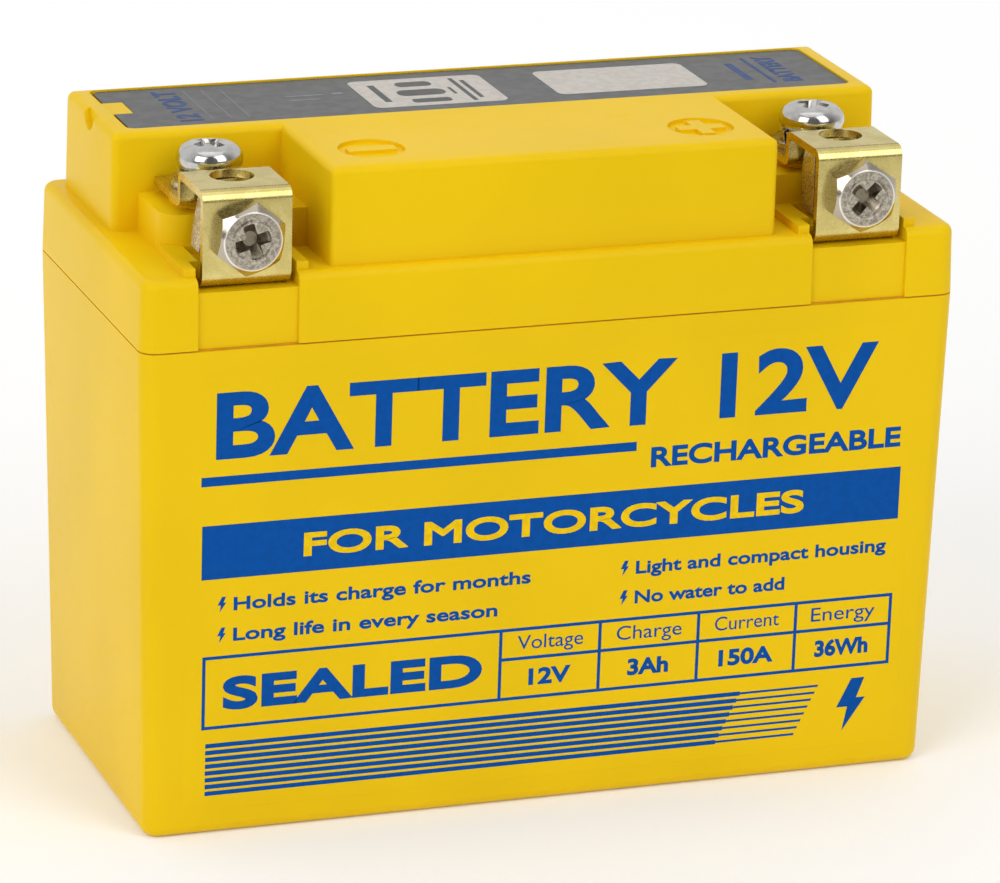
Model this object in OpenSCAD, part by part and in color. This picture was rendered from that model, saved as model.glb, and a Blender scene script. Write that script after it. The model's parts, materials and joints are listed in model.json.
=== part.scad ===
// Small 12 V lithium motorcycle battery with bolted brass terminal brackets.
// Origin at the centre of the flat base, +Z up, terminals on the -Y side.

/* [Overall size] */
// Length of the housing
body_l = 107; // [106.8:0.1:108]
// Width of the housing
body_w = 49; // [48.8:0.1:50]
// Height to the top of the raised strip
body_h = 85.2; // [85:0.1:85.6]
// Height of the seam between case and lid
seam_z = 63.8; // [63.6:0.1:64]
// Height of the lower tier of the lid
tier_z = 72.75; // [72.6:0.05:72.9]

/* [Housing] */
// Wall thickness of case and lid
wall = 1.8; // [1.6:0.1:1.9]
// Inset of the case walls at the base, which sets their draft
case_draft = 1.15; // [0.8:0.05:1.2]
// Radius of the vertical corners
corner_r = 2.2; // [1.8:0.1:2.4]
// Radius round the edge of the base
base_edge_r = 1.5; // [1:0.1:1.6]
// Radius along the top edges of the lid
lid_edge_r = 1.1; // [0.8:0.1:1.2]
// Gap between case and lid that the seam bead fills
seam_gap = 0.2; // [0.1:0.05:0.3]

/* [Raised strip and centre block] */
// Half length of the strip along the back
strip_half_l = 50.9; // [50.6:0.1:51.2]
// Front face of the strip
strip_front_y = -1.45; // [-1.6:0.05:-1.3]
// Back face of the strip
strip_back_y = 20.9; // [20.7:0.1:21.1]
// Half length of the centre block between the terminals
block_half_l = 29.2; // [29:0.1:29.4]
// Front face of the centre block
block_front_y = -22.75; // [-22.9:0.05:-22.6]
// Diameter of the sunk polarity discs
disc_d = 8.4; // [8:0.1:9]

/* [Terminals] */
// Distance of each terminal from the middle
term_x = 40.05; // [39.9:0.05:40.2]
// Width of the bracket strip
bracket_w = 11.3; // [11:0.1:11.6]
// Thickness of the bracket strip
bracket_t = 1.0; // [0.9:0.05:1.1]
// Front face of the bracket
bracket_front_y = -23.3; // [-23.4:0.05:-23.2]
// Top face of the bracket
bracket_top_z = 83.4; // [83.3:0.05:83.5]
// Height of the bolt axis
bolt_z = 77.6; // [77.5:0.05:77.7]
// Across flats of the bolt head
bolt_af = 8; // [7.8:0.1:8.2]
// Height of the bolt head
bolt_head_h = 2.6; // [2.4:0.1:3]
// Thread diameter of bolts and fixing screws
thread_d = 5; // [5:1:5]
// Clearance hole for that thread
clear_d = 5.5; // [5.3:0.1:5.6]
// Head diameter of the fixing screw
pan_d = 8.4; // [8.2:0.1:8.8]

/* [Cells] */
// Cell can diameter
cell_d = 18; // [17.9:0.1:18.1]
// Cell length over the button
cell_h = 65; // [64.8:0.1:65]
// Distance between cell axes
cell_pitch = 19.2; // [19:0.1:19.3]

/* [Hidden] */
$fn = 64;
hull_fn = 32;
eps = 0.01;

// Sides of the two terminals along X
NEG = -1;
POS = 1;

half_l = body_l / 2;
half_w = body_w / 2;

// Lid: the lower tier closes in slightly towards its top
tier_draft = 0.2;
strip_draft = 0.2;
strip_w = strip_back_y - strip_front_y;
strip_mid_y = (strip_back_y + strip_front_y) / 2;
strip_r = 1.0;
strip_edge_r = 0.95;
block_r = 0.8;
lid_under_z = tier_z - wall;

// Lip of the case that stands inside the lid's rebate
lip_h = 2.5;
lip_in = 0.95;
lip_gap = 0.1;
rebate_room = 1.3;
lid_inner_r = 1;
seam_recess = 0.25;

// Pocket in the strip for the top cover, and the label on it
pocket_x = [-48.4, 48.6];
pocket_y = [0.9, 19.8];
pocket_depth = 1.8;
pocket_r = 1.2;
cover_slit = 0.5;
cover_fit = 0.1;
tongue_y = [8.7, 14.2];
label_t = 0.2;
label_drop = 0.2;
scoop_r = 2.3;
scoop_depth = 0.8;
scoop_y = 10;

// Polarity discs on the centre block
disc_x = 21.7;
disc_y = -14.8;
disc_depth = 0.45;
sign_l = 6.2;
sign_w = 1.8;

// Terminal corner of the lid: notch in front, pad, boss and pedestal
notch_w = 12.8;
notch_z = 71;
notch_back_y = -19.8;
notch_floor = 1.9;
apron_depth = 0.3;
pad_w = 15.8;
pad_front_y = -23.0;
pad_z = 73.85;
boss_out_x = 47.7;
boss_front_y = -13.0;
boss_z = 77.7;
boss_r = 3.2;
pedestal_r = 5.0;
pedestal_z = 78.7;
lug_pocket_w = 9.6;
lug_pocket_z = 73.2;
lug_pocket_front_y = -11.6;

// Bay in the pad where the square nut can turn a little
nut_bay_w = 10.4;
nut_bay_back_y = -13.4;
nut_bay_z = 72.8;

// Bracket bends, outer radii
bend_r = 1.4;
foot_bend_r = 2.0;
riser_back_y = -12.3;
tab_back_y = -1.9;
bracket_foot_z = notch_z + 0.1;
foot_back_y = -20.3;
top_hole_y = -16.4;
screw_y = -6.8;

// Bolt, nut and screw
pitch = 0.8;
running_gap = 0.05;
thread_r = thread_d / 2 - running_gap;
thread_root_r = thread_r - 0.4;
bolt_shank = 10;
face_inset = 0.35;
bolt_face_r = bolt_af / 2 - face_inset;
head_chamfer = 45;
recess_len = 4.6;
recess_w = 1.45;
recess_depth = 1.7;
nut_side = 8;
nut_t = 4;
nut_front_y = -18;
nut_chamfer_r = 4.4;
nut_chamfer_slope = 1.7;
washer_t = 0.8;
washer_r = 4.9;
spring_t = 1.2;
spring_r = 4.0;
washer_hole_r = 2.65;
split_w = 0.5;
split_slope = 20;
pan_h = 3.2;
pan_round = 1.75;
pan_dome = 0.22;
screw_len = 7.6;

// How far each head, recess, nut and split is turned, negative side first
head_turns = [22, 26];
bolt_recess_turns = [17, 48];
screw_recess_turns = [25, 50];
nut_turns = [10, 0];
split_turns = [215, 200];

// Post with its knurls and riveted tail, ring lug and lead
post_r = 3.6;
post_web = 0.5;
knurls = 18;
knurl_w = 0.4;
knurl_depth = 0.15;
knurl_margin = 1.2;
post_shoulder_z = lug_pocket_z;
tail_r = 1.8;
rivet_r = 2.5;
rivet_h = 0.6;
tail_bore_r = 0.8;
tail_web = 0.4;
lug_t = 0.8;
lug_ring_r = 4.0;
lug_neck_w = 3.2;
lug_neck_l = 1.4;
lug_barrel_r = 1.45;
crimp_gap = 0.1;
lug_barrel_y = [-1.9, 3.6];
lead_r = 1.05;

// Stack heights above the bracket's rear tab
tab_top_z = pedestal_z + bracket_t;
spring_z = tab_top_z + washer_t;
screw_seat_z = spring_z + spring_t;
link_tab_x = term_x - lead_r;

// Cell pack, stacked up from the case floor
foam_t = 0.8;
link_t = 0.2;
lower_link_z = wall + foam_t;
cell_z = lower_link_z + link_t;
cell_top_z = cell_z + cell_h;
top_insulator_z = cell_top_z + link_t;
insulator_t = 0.2;
insulator_half_y = 17.4;
sleeve_t = 0.15;
columns = 4;
rows = 2;
button_r = 3.4;
button_h = 0.7;
can_round = 0.4;
groove_depth = 0.6;
groove_low = 4.6;
groove_high = 3.6;
holder_rim = 1.6;
holder_l = columns * cell_pitch + holder_rim;
holder_w = rows * cell_pitch + holder_rim;
holder_h = 6;
holder_gap = 0.2;
holder_inset = 1;
upper_holder_z = cell_top_z - holder_h - holder_inset;
holder_r = 3;
link_w = 14;
link_half_y = 16.8;
link_r = 2;
down_wire_x = 33.5;
link_tab_y = [10.5, 17.5];
link_tab_h = 5.4;
sense_tab_w = 4;
middle_tab_x = -12;
middle_tab_end_y = 19.2;
lower_tab_end_y = 21.3;
slit_l = 5;
slit_w = 1;
base_foam_half_l = 46;
base_foam_half_w = 19;
end_foam_x = [holder_l / 2 + 0.2, 50];
end_foam_half_w = 18;
end_foam_top_z = 58;
end_foam_r = 1.5;

// Balance board on four posts of the upper holder
post_x = cell_pitch;
post_y = [-15.5, 15.5];
stand_r = 2.0;
board_z = 73.4;
board_t = 1.6;
board_half_l = 23.5;
board_y = [-18.8, 17.3];
board_r = 1.5;
pilot_r = 0.9;
board_screw_r = 0.85;
board_screw_len = 4.6;
board_screw_head_r = 1.7;
board_screw_head_h = 1.2;
board_top_z = board_z + board_t;
header_x = [-22.5, -16.5];
header_y = [0.4, 13.6];
header_h = 4.8;
header_wall = 0.4;
header_back = 1.2;
plug_x = [-27.4, -22.5];
plug_h = 4.0;
plug_inset = 0.9;
pins = 5;
pin_pitch = 2.0;
wire_r = 0.5;
wire_z = board_top_z + 2.3;
chip_x = [-10, -2, 6, 14];
chip_y = 6;
chip_l = 5;
chip_w = 4;
chip_z = [board_top_z + 0.1, board_top_z + 1.6];
leg = [0.45, 1.2, 0.7];
leg_pitch = 1.27;
leg_y = 2.5;
resistor_y = [-14, -10, -6, -2];
resistor_l = 6.2;
resistor_w = 3;
resistor_h = 0.6;

// Front label on the drafted front wall
front_tilt = atan(case_draft / (seam_z - seam_gap / 2));
front_label_x = [-47.6, 48.6];
front_label_z = [3.4, 60.6];
front_label_t = 0.06;
adhesive_t = 0.005;
front_label_r = 1.2;

// Picks a terminal's own value from a pair
function of_side(side, pair) = side == NEG ? pair[0] : pair[1];

// ---------- shared shapes ----------

// Rounded rectangle with true arcs, centred
module rounded_rect(l, w, r) {
    square([l - 2 * r, w], center = true);
    square([l, w - 2 * r], center = true);
    for (x = [-1, 1], y = [-1, 1])
        translate([x * (l / 2 - r), y * (w / 2 - r)])
            circle(r);
}

// Rounded plate between two X, two Y and two Z values
module plate(x, y, z, r) {
    translate([(x[0] + x[1]) / 2, (y[0] + y[1]) / 2, z[0]])
        linear_extrude(z[1] - z[0])
            rounded_rect(x[1] - x[0], y[1] - y[0], r);
}

// Box between two X, two Y and two Z values
module slab(x, y, z) {
    translate([x[0], y[0], z[0]])
        cube([x[1] - x[0], y[1] - y[0], z[1] - z[0]]);
}

// Block whose length and width go from low to high, with rounded low and high edges
module drafted_block(low, high, h, r, low_r, high_r) {
    steps = [0, 22.5, 45, 67.5, 90];
    rings = concat(
        low_r > 0 ? [for (a = steps) [low_r * (1 - sin(a)), low_r * (1 - cos(a))]] : [[0, 0]],
        high_r > 0 ? [for (a = steps) [h - high_r * (1 - sin(a)), high_r * (1 - cos(a))]] : [[h, 0]]
    );
    hull()
        for (ring = rings) {
            t = ring[0] / h;
            l = low[0] + (high[0] - low[0]) * t - 2 * ring[1];
            w = low[1] + (high[1] - low[1]) * t - 2 * ring[1];
            translate([0, 0, min(ring[0], h - eps)])
                linear_extrude(eps)
                    rounded_rect(l, w, max(r - ring[1], 0.3), $fn = hull_fn);
        }
}

// Quarter of a bent strip: ring of outer radius ro, facing the given signs
module bend(ro, t, sy, sz) {
    intersection() {
        difference() {
            circle(ro);
            circle(ro - t);
        }
        translate([sy > 0 ? 0 : -ro, sz > 0 ? 0 : -ro])
            square(ro);
    }
}

// Cross recess, cut down from z = 0
module cross_recess() {
    intersection() {
        for (a = [0, 90])
            rotate(a)
                translate([-recess_len / 2, -recess_w / 2, -recess_depth])
                    cube([recess_len, recess_w, recess_depth + eps]);
        translate([0, 0, -recess_depth])
            cylinder(h = recess_depth + eps, r1 = recess_len / 5, r2 = recess_len / 2);
    }
}

// Threaded shank pointing down from z = 0, its ridges modelled as rings
module threaded_shank(len) {
    ridges = floor(len / pitch) - 1;
    rotate_extrude()
        polygon(concat(
            [[0, 0], [thread_r, 0]],
            [for (i = [0:ridges - 1], p = [[thread_r, 0.1], [thread_root_r, 0.4], [thread_r, 0.7]])
                [p[0], -(i + p[1]) * pitch]],
            [[thread_r, -(len - 0.5)], [thread_root_r, -len], [0, -len]]
        ));
}

// Round tube swept along points, with flat ends
function unit(v) = v / norm(v);
function heading(p, i) =
    i == 0 ? unit(p[1] - p[0]) :
    i == len(p) - 1 ? unit(p[i] - p[i - 1]) :
    unit(unit(p[i] - p[i - 1]) + unit(p[i + 1] - p[i]));
function side_of(d) = abs(d[2]) > 0.9 ? unit(cross(d, [1, 0, 0])) : unit(cross(d, [0, 0, 1]));
function carry(s, d) = unit(s - d * (s * d));
function frames(p, i = 0, s = undef) =
    i >= len(p) ? [] :
    let (d = heading(p, i), q = is_undef(s) ? side_of(d) : carry(s, d))
        concat([[q, cross(d, q)]], frames(p, i + 1, q));
module swept_tube(p, r, sides = 8) {
    f = frames(p);
    n = len(p);
    points = [for (i = [0:n - 1], k = [0:sides - 1])
        p[i] + r * (cos(360 * k / sides) * f[i][0] + sin(360 * k / sides) * f[i][1])];
    walls = [for (i = [0:n - 2], k = [0:sides - 1])
        let (a = i * sides + k, b = i * sides + (k + 1) % sides)
            each [[a, b, b + sides], [a, b + sides, a + sides]]];
    polyhedron(
        points,
        concat([[for (k = [sides - 1:-1:0]) k]], walls, [[for (k = [0:sides - 1]) (n - 1) * sides + k]]),
        convexity = 4
    );
}

// Smooth route through hand-set points, four steps to each span
function spline(a, b, c, d, t) =
    0.5 * (2 * b + (c - a) * t + (2 * a - 5 * b + 4 * c - d) * t * t + (3 * b - a - 3 * c + d) * t * t * t);
function smooth(p, steps = 4) = concat(
    [for (i = [0:len(p) - 2], k = [0:steps - 1])
        spline(p[max(i - 1, 0)], p[i], p[i + 1], p[min(i + 2, len(p) - 1)], k / steps)],
    [p[len(p) - 1]]
);

// ---------- housing ----------

module case() color("gold")
    difference() {
        union() {
            drafted_block(
                [body_l - 2 * case_draft, body_w - 2 * case_draft], [body_l, body_w],
                seam_z - seam_gap / 2, corner_r, base_edge_r, 0
            );
            case_lip();
        }
        translate([0, 0, wall])
            drafted_block(
                [body_l - 2 * case_draft - 2 * wall, body_w - 2 * case_draft - 2 * wall],
                [body_l - 2 * wall, body_w - 2 * wall],
                seam_z - wall, corner_r, 0, 0
            );
        slab(
            [-half_l + wall, half_l - wall], [-half_w + wall, half_w - wall],
            [seam_z - 1, seam_z + lip_h + 1]
        );
    }

// Thin lip that stands up inside the lid
module case_lip()
    translate([0, 0, seam_z - 1])
        linear_extrude(1 + lip_h)
            rounded_rect(
                body_l - 2 * (lip_in + lip_gap), body_w - 2 * (lip_in + lip_gap), corner_r - lip_in
            );

module seam_bead() color("darkorange")
    translate([0, 0, seam_z - seam_gap / 2])
        linear_extrude(seam_gap)
            difference() {
                rounded_rect(body_l - 2 * seam_recess, body_w - 2 * seam_recess, corner_r - seam_recess);
                rounded_rect(body_l - 2 * lip_in, body_w - 2 * lip_in, corner_r - lip_in);
            }

module lid() color("gold")
    difference() {
        union() {
            lid_outside();
            for (side = [NEG, POS]) terminal_seat(side);
        }
        lid_inside();
        cover_pocket();
        for (side = [NEG, POS]) {
            terminal_cuts(side);
            polarity_disc(side);
        }
    }

module lid_outside() {
    low_z = seam_z + seam_gap / 2;
    translate([0, 0, low_z])
        drafted_block(
            [body_l, body_w], [body_l - 2 * tier_draft, body_w - 2 * tier_draft],
            tier_z - low_z, corner_r, 0, lid_edge_r
        );
    translate([0, strip_mid_y, tier_z - 1])
        drafted_block(
            [2 * (strip_half_l + strip_draft), strip_w + 2 * strip_draft], [2 * strip_half_l, strip_w],
            body_h - tier_z + 1, strip_r, 0, strip_edge_r
        );
    block_w = strip_mid_y - block_front_y;
    translate([0, block_front_y + block_w / 2, tier_z - 1])
        drafted_block(
            [2 * block_half_l, block_w], [2 * block_half_l, block_w],
            body_h - tier_z + 1, block_r, 0, strip_edge_r
        );
}

module lid_inside() {
    rim_z = seam_z - 1;
    difference() {
        translate([0, 0, rim_z])
            linear_extrude(lid_under_z - rim_z)
                rounded_rect(body_l - 2 * wall, body_w - 2 * wall, lid_inner_r);
        for (side = [NEG, POS]) notch_backing(side);
    }
    translate([0, 0, rim_z])
        linear_extrude(lip_h + rebate_room)
            rounded_rect(body_l - 2 * lip_in, body_w - 2 * lip_in, corner_r - lip_in);
    top_z = body_h - pocket_depth - wall;
    slab(
        [-strip_half_l + wall, strip_half_l - wall],
        [strip_front_y + wall, strip_back_y - wall],
        [rim_z, top_z]
    );
    slab([-block_half_l + wall, block_half_l - wall], [block_front_y + wall, strip_mid_y], [rim_z, top_z]);
}

// Plastic left under the notch, so that its floor has full thickness
module notch_backing(side)
    translate([side * term_x, 0, 0])
        slab(
            [-notch_w / 2 - wall, notch_w / 2 + wall],
            [-half_w, notch_back_y + wall],
            [notch_z - notch_floor, tier_z]
        );

// Pocket for the top cover, and the thumbnail scoop beside its tongue
module cover_pocket() {
    plate(pocket_x, pocket_y, [body_h - pocket_depth, body_h + 1], pocket_r);
    translate([-strip_half_l - 1, scoop_y, body_h])
        rotate([0, 90, 0])
            cylinder(h = 1 + scoop_depth, r = scoop_r);
}

// Sunk disc with a raised minus or plus
module polarity_disc(side)
    translate([side * disc_x, disc_y, body_h - disc_depth])
        difference() {
            cylinder(h = 1, d = disc_d);
            cube([sign_l, sign_w, 2], center = true);
            if (side == POS) cube([sign_w, sign_l, 2], center = true);
        }

// Pad, boss and pedestal that carry one terminal
module terminal_seat(side)
    translate([side * term_x, 0, 0]) {
        slab([-pad_w / 2, pad_w / 2], [pad_front_y, boss_front_y + 1], [tier_z - 1, pad_z]);
        out = boss_out_x - term_x;
        in = term_x - block_half_l + 1;
        translate([0, 0, tier_z - 1])
            linear_extrude(boss_z - tier_z + 1)
                scale([side, 1]) {
                    translate([-in, boss_front_y])
                        square([in + out - boss_r, strip_front_y + 1 - boss_front_y]);
                    translate([-in, boss_front_y + boss_r])
                        square([in + out, strip_front_y + 1 - boss_front_y - boss_r]);
                    translate([out - boss_r, boss_front_y + boss_r])
                        circle(boss_r);
                }
        translate([0, screw_y, boss_z - 1])
            cylinder(h = pedestal_z - boss_z + 1, r = pedestal_r);
    }

// Notch, apron recess, post bore and lug pocket of one terminal
module terminal_cuts(side)
    translate([side * term_x, 0, 0]) {
        slab([-notch_w / 2, notch_w / 2], [-half_w - 1, notch_back_y], [notch_z, pad_z + 1]);
        slab(
            [-notch_w / 2, notch_w / 2],
            [-half_w - 1, -half_w + tier_draft + apron_depth],
            [seam_z - 1, notch_z + 1]
        );
        slab([-nut_bay_w / 2, nut_bay_w / 2], [notch_back_y - 1, nut_bay_back_y], [nut_bay_z, pad_z + 1]);
        translate([0, screw_y, lid_under_z - 1])
            cylinder(h = pedestal_z - lid_under_z + 2, r = post_r);
        slab(
            [-lug_pocket_w / 2, lug_pocket_w / 2],
            [lug_pocket_front_y, strip_front_y + wall + eps],
            [lid_under_z - 1, lug_pocket_z]
        );
    }

module top_cover() color("gold") {
    z = [body_h - pocket_depth, body_h - label_drop - label_t];
    x = [pocket_x[0] + cover_slit, pocket_x[1] - cover_fit];
    y = [pocket_y[0] + cover_fit, pocket_y[1] - cover_fit];
    plate(x, y, z, pocket_r);
    slab([pocket_x[0] + cover_fit, pocket_x[0] + 3], tongue_y, [z[0], body_h - label_drop]);
}

module top_label() color("dimgray") {
    z = body_h - label_drop - label_t;
    difference() {
        plate(
            [pocket_x[0] + cover_slit, pocket_x[1] - cover_fit],
            [pocket_y[0] + cover_fit, pocket_y[1] - cover_fit],
            [z, z + label_t], pocket_r
        );
        slab([pocket_x[0], pocket_x[0] + 3], tongue_y, [z - 1, z + 1]);
    }
}

module front_label() color("gold")
    translate([0, case_draft - half_w, 0])
        rotate([90 + front_tilt, 0, 0])
            plate(front_label_x, front_label_z, [adhesive_t, front_label_t], front_label_r);

// ---------- terminals ----------

module bracket(side) color("darkkhaki")
    translate([side * term_x, 0, 0])
        difference() {
            translate([-bracket_w / 2, 0, 0])
                rotate([90, 0, 90])
                    linear_extrude(bracket_w)
                        bracket_profile();
            translate([0, top_hole_y, bracket_top_z - 2])
                cylinder(h = 3, d = clear_d);
            translate([0, screw_y, pedestal_z - 1])
                cylinder(h = 3, d = clear_d);
            translate([0, bracket_front_y - 1, bolt_z])
                rotate([-90, 0, 0])
                    cylinder(h = 3, d = clear_d);
        }

// Side outline of the bent strip: rear tab, riser, top, front and foot
module bracket_profile() {
    t = bracket_t;
    riser_y = riser_back_y - t;
    top_z = bracket_top_z - bend_r;
    front_y = bracket_front_y + bend_r;
    foot_y = bracket_front_y + foot_bend_r;
    foot_z = bracket_foot_z + foot_bend_r;
    translate([riser_y + bend_r, pedestal_z])
        square([tab_back_y - riser_y - bend_r, t]);
    translate([riser_y + bend_r, pedestal_z + bend_r])
        bend(bend_r, t, -1, -1);
    translate([riser_y, pedestal_z + bend_r])
        square([t, top_z - pedestal_z - bend_r]);
    translate([riser_back_y - bend_r, top_z])
        bend(bend_r, t, 1, 1);
    translate([front_y, bracket_top_z - t])
        square([riser_back_y - bend_r - front_y, t]);
    translate([front_y, top_z])
        bend(bend_r, t, -1, 1);
    translate([bracket_front_y, foot_z])
        square([t, top_z - foot_z]);
    translate([foot_y, foot_z])
        bend(foot_bend_r, t, -1, -1);
    translate([foot_y, bracket_foot_z])
        square([foot_back_y - foot_y, t]);
}

// Hexagon bolt with a cross recess, head outside the bracket
module bolt(side) color("silver")
    translate([side * term_x, bracket_front_y, bolt_z])
        rotate([90, 0, 0])
            difference() {
                union() {
                    intersection() {
                        rotate(of_side(side, head_turns))
                            cylinder(h = bolt_head_h, r = bolt_af / 2 / cos(30), $fn = 6);
                        cylinder(
                            h = bolt_head_h,
                            r1 = bolt_face_r + bolt_head_h / tan(head_chamfer), r2 = bolt_face_r
                        );
                    }
                    threaded_shank(bolt_shank);
                }
                translate([0, 0, bolt_head_h])
                    rotate(of_side(side, bolt_recess_turns))
                        cross_recess();
            }

module square_nut(side) color("silver")
    translate([side * term_x, nut_front_y + nut_t, bolt_z])
        rotate([90, of_side(side, nut_turns), 0])
            difference() {
                intersection() {
                    translate([-nut_side / 2, -nut_side / 2, 0])
                        cube([nut_side, nut_side, nut_t]);
                    cylinder(h = nut_t, r1 = nut_chamfer_r, r2 = nut_chamfer_r + nut_t * nut_chamfer_slope);
                }
                translate([0, 0, -1])
                    cylinder(h = nut_t + 2, d = thread_d);
            }

// Pan head screw that clamps the bracket's rear tab to the post
module fixing_screw(side) color("silver")
    translate([side * term_x, screw_y, screw_seat_z])
        difference() {
            union() {
                rotate_extrude()
                    pan_profile();
                threaded_shank(screw_len);
            }
            translate([0, 0, pan_h + pan_dome - eps])
                rotate(of_side(side, screw_recess_turns))
                    cross_recess();
        }

// Half section of the domed pan head
module pan_profile() {
    r = pan_d / 2;
    flat_r = r - pan_round;
    dome_r = (flat_r * flat_r + pan_dome * pan_dome) / (2 * pan_dome);
    square([flat_r, pan_h]);
    intersection() {
        translate([flat_r, pan_h - pan_round])
            circle(pan_round);
        square([r + 1, pan_h]);
    }
    intersection() {
        translate([0, pan_h + pan_dome - dome_r])
            circle(dome_r, $fn = 128);
        translate([0, pan_h - eps])
            square([flat_r, pan_dome + 1]);
    }
}

// Split spring washer
module spring_washer(side) color("silver")
    translate([side * term_x, screw_y, spring_z])
        difference() {
            cylinder(h = spring_t, r = spring_r);
            translate([0, 0, -1])
                cylinder(h = spring_t + 2, r = washer_hole_r);
            rotate(of_side(side, split_turns))
                translate([washer_hole_r - 1, -split_w / 2, -1])
                    rotate([split_slope, 0, 0])
                        cube([spring_r, split_w, spring_t + 3]);
        }

module flat_washer(side) color("silver")
    translate([side * term_x, screw_y, tab_top_z])
        difference() {
            cylinder(h = washer_t, r = washer_r);
            translate([0, 0, -1])
                cylinder(h = washer_t + 2, r = washer_hole_r);
        }

// Threaded brass post held in the lid, with a riveted tail below
module post(side) color("goldenrod")
    translate([side * term_x, screw_y, 0])
        difference() {
            union() {
                translate([0, 0, post_shoulder_z])
                    cylinder(h = pedestal_z - post_shoulder_z, r = post_r);
                translate([0, 0, post_shoulder_z - lug_t])
                    cylinder(h = lug_t + eps, r = tail_r);
                translate([0, 0, post_shoulder_z - lug_t - rivet_h])
                    cylinder(h = rivet_h, r1 = tail_r, r2 = rivet_r);
            }
            translate([0, 0, post_shoulder_z - lug_t - rivet_h + tail_web])
                cylinder(h = pedestal_z - post_shoulder_z, r = tail_bore_r);
            translate([0, 0, post_shoulder_z + post_web])
                cylinder(h = pedestal_z - post_shoulder_z, d = thread_d);
            for (k = [0:knurls - 1])
                rotate(k * 360 / knurls)
                    translate([post_r - knurl_depth, -knurl_w / 2, post_shoulder_z + knurl_margin])
                        cube([1, knurl_w, pedestal_z - post_shoulder_z - 2 * knurl_margin]);
        }

// Ring lug under the post, its barrel pointing back
module lug(side) color("silver")
    translate([side * term_x, 0, post_shoulder_z - lug_t])
        difference() {
            union() {
                translate([0, screw_y, 0])
                    cylinder(h = lug_t, r = lug_ring_r);
                slab([-lug_neck_w / 2, lug_neck_w / 2], [screw_y, lug_barrel_y[0] + lug_neck_l], [0, lug_t]);
                translate([0, lug_barrel_y[0], lug_t - lug_barrel_r])
                    rotate([-90, 0, 0])
                        cylinder(h = lug_barrel_y[1] - lug_barrel_y[0], r = lug_barrel_r);
            }
            translate([0, screw_y, -1])
                cylinder(h = 3, r = tail_r);
            translate([0, lug_barrel_y[0] + 1, lug_t - lug_barrel_r])
                rotate([-90, 0, 0])
                    cylinder(h = 10, r = lead_r + crimp_gap);
        }

// Insulated lead from the lug up, over and down to the link's tab
lead_route = [
    [0, -0.8, 71.75], [0, 1.6, 71.75], [0, 4.2, 71.75], [0, 6.4, 72.7], [0, 8.4, 74.6], [0, 10.8, 75.6],
    [0, 12.8, 74.8], [0, 13.9, 72.6], [0, 14, 69.2]
];
module lead(side) color(side == NEG ? "black" : "red")
    translate([side * term_x, 0, 0])
        swept_tube(smooth(lead_route, 3), lead_r, 10);

// ---------- cell pack ----------

// Cells 1 to 4 stand in the front row and 5 to 8 in the back row
function cell_column(i) = (i - 1) % columns;
function cell_xy(i) = [
    (cell_column(i) - (columns - 1) / 2) * cell_pitch,
    (floor((i - 1) / columns) - (rows - 1) / 2) * cell_pitch
];
// Every second column stands with its button up
function button_up(i) = cell_column(i) % 2 == 1;

// Places its children at cell i, turned over where the button is below
module at_cell(i)
    translate([cell_xy(i)[0], cell_xy(i)[1], button_up(i) ? cell_z : cell_top_z])
        rotate([button_up(i) ? 0 : 180, 0, 0])
            children();

module cell(i) color("lightgray")
    at_cell(i)
        rotate_extrude()
            polygon([
                [0, 0], [cell_d / 2 - can_round, 0], [cell_d / 2, can_round],
                [cell_d / 2, cell_h - groove_low],
                [cell_d / 2 - groove_depth, cell_h - (groove_low + groove_high) / 2],
                [cell_d / 2, cell_h - groove_high],
                [cell_d / 2, cell_h - button_h - 0.5], [cell_d / 2 - 0.5, cell_h - button_h],
                [button_r + 1.2, cell_h - button_h], [button_r + 0.8, cell_h - button_h - 0.5],
                [button_r + 0.3, cell_h - button_h - 0.5], [button_r, cell_h], [0, cell_h]
            ]);

// Shrink sleeve, folded a little way over the button end
module cell_sleeve(i) color("steelblue")
    at_cell(i)
        difference() {
            cylinder(h = cell_h - button_h + sleeve_t, d = cell_d + 2 * sleeve_t);
            translate([0, 0, -1])
                cylinder(h = cell_h - button_h + 1, d = cell_d);
            translate([0, 0, -1])
                cylinder(h = cell_h + 2, r = cell_d / 2 - 2);
        }

module holder_body(z)
    difference() {
        plate([-holder_l / 2, holder_l / 2], [-holder_w / 2, holder_w / 2], [z, z + holder_h], holder_r);
        for (i = [1:8])
            translate([cell_xy(i)[0], cell_xy(i)[1], z - 1])
                cylinder(h = holder_h + 2, r = cell_d / 2 + holder_gap);
    }

module lower_cell_holder() color("dimgray")
    holder_body(cell_z + holder_inset);

module upper_cell_holder() color("dimgray")
    difference() {
        union() {
            holder_body(upper_holder_z);
            for (x = [-post_x, post_x], y = post_y)
                translate([x, y, upper_holder_z])
                    cylinder(h = board_z - upper_holder_z, r = stand_r);
        }
        for (x = [-post_x, post_x], y = post_y)
            translate([x, y, cell_top_z + 1])
                cylinder(h = 10, r = pilot_r);
    }

// Nickel plate over the cells of the given columns, with weld slits
module link_plate(first, last, z)
    difference() {
        x0 = (first - (columns - 1) / 2) * cell_pitch;
        x1 = (last - (columns - 1) / 2) * cell_pitch;
        plate([x0 - link_w / 2, x1 + link_w / 2], [-link_half_y, link_half_y], [z, z + link_t], link_r);
        for (i = [1:8])
            translate([cell_xy(i)[0], cell_xy(i)[1], z])
                cube([slit_w, slit_l, 1], center = true);
    }

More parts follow.
